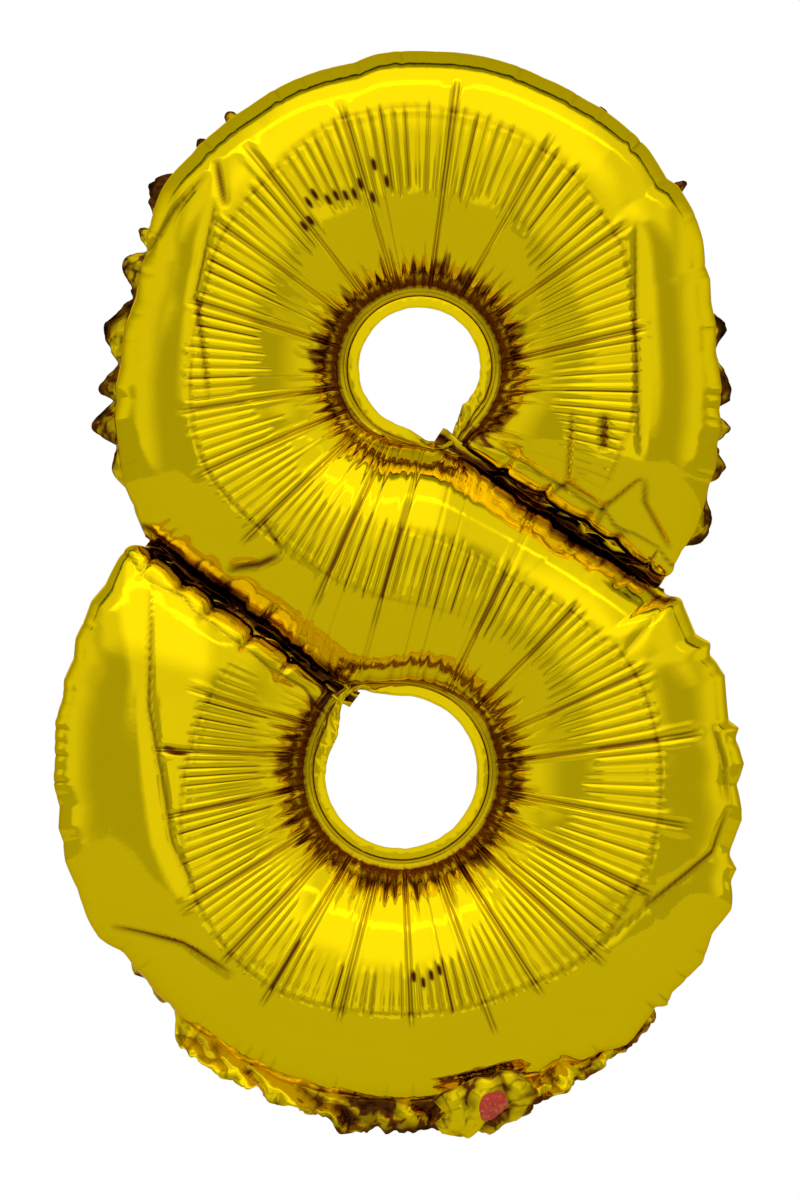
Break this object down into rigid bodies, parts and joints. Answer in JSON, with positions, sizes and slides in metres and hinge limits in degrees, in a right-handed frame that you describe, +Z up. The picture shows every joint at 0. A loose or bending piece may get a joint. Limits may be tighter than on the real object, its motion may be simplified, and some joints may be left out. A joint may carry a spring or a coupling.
{
  "type": "foil number balloon",
  "caption": "Inflated gold foil balloon in the shape of the figure 8: one S-shaped air tube between two welded foil sheets, with a folding inflation tail and a film valve.",
  "frame": {"origin": "the hanging point at the top of the outer seam, in the middle of the seam's width, on its back face", "axes": "+Z up along the figure's height, +X to the right as the figure is read, -Y out of its front"},
  "size_m": [0.2241, 0.0704, 0.3458],
  "materials": {
    "gold_foil": "mirror bright metallised film",
    "folded_foil": "bright metallised film, crumpled",
    "valve_film": "clear thin film",
    "red_ink": "printed ink"
  },
  "bodies": {
    "balloon": {"front_foil": "gold_foil", "back_foil": "gold_foil", "outer_seam": "gold_foil", "upper_hole_seam": "gold_foil", "lower_hole_seam": "gold_foil", "upper_partition_seam": "folded_foil", "lower_partition_seam": "folded_foil", "neck_front_foil": "folded_foil", "neck_back_foil": "folded_foil", "valve_inner_front_film": "valve_film", "valve_inner_back_film": "valve_film"},
    "tail": {"tail_front_foil": "folded_foil", "tail_back_foil": "folded_foil", "tail_left_seam": "folded_foil", "tail_right_seam": "folded_foil", "valve_outer_front_film": "valve_film", "valve_outer_back_film": "valve_film", "inflation_mark": "red_ink"}
  },
  "joints": [
    {"name": "tail_fold", "type": "hinge", "parent": "balloon", "child": "tail", "pos_m": [0.02245, -0.0003, -0.34023], "axis": [0.969, 0, 0.247], "range_deg": [0, 150]}
  ]
}
